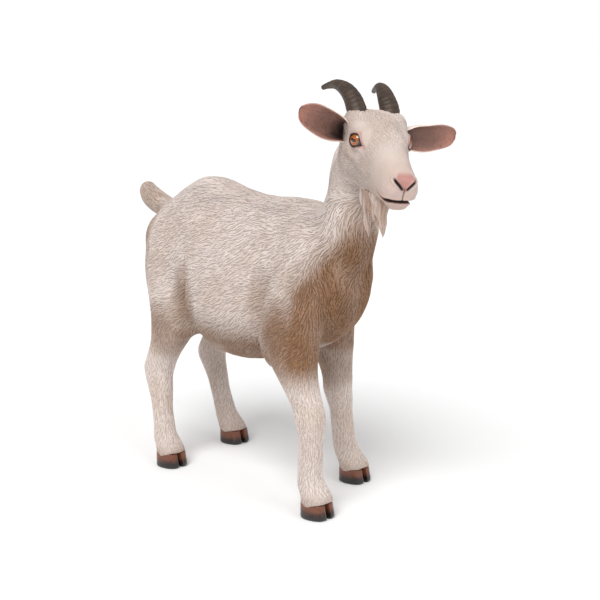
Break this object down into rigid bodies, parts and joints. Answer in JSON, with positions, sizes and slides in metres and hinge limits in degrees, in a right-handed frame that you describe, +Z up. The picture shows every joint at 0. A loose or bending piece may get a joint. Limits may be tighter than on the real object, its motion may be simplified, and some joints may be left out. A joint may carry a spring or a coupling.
{
  "type": "resin goat statue",
  "caption": "Life-size painted resin statue of a standing young horned goat, its head turned to its right.",
  "frame": {"origin": "on the floor, under the middle of the statue's bounding box", "axes": "-Y the way the body faces, +X towards the goat's left side, +Z up"},
  "size_m": [0.3028, 0.8594, 0.8189],
  "materials": {
    "coat": "cast resin, painted greyish pink-white, satin",
    "beard": "cast resin, painted tan and off-white, satin",
    "horn": "cast resin, painted dark brown, satin",
    "eye": "glossy orange iris with a black level pupil",
    "tooth": "painted off-white, satin",
    "claw": "painted black with a red-brown upper band, half gloss"
  },
  "bodies": {
    "root": {"trunk": "coat", "neck": "coat", "head": "coat", "tail": "coat", "foreleg_right": "coat", "foreleg_left": "coat", "hindleg_right": "coat", "hindleg_left": "coat", "ear_right": "coat", "ear_left": "coat", "beard": "beard", "horn_right": "horn", "horn_left": "horn", "eye_right": "eye", "eye_left": "eye", "teeth": "tooth", "claw_fore_right_outer": "claw", "claw_fore_right_inner": "claw", "claw_fore_left_outer": "claw", "claw_fore_left_inner": "claw", "claw_hind_right_outer": "claw", "claw_hind_right_inner": "claw", "claw_hind_left_outer": "claw", "claw_hind_left_inner": "claw"}
  },
  "joints": []
}
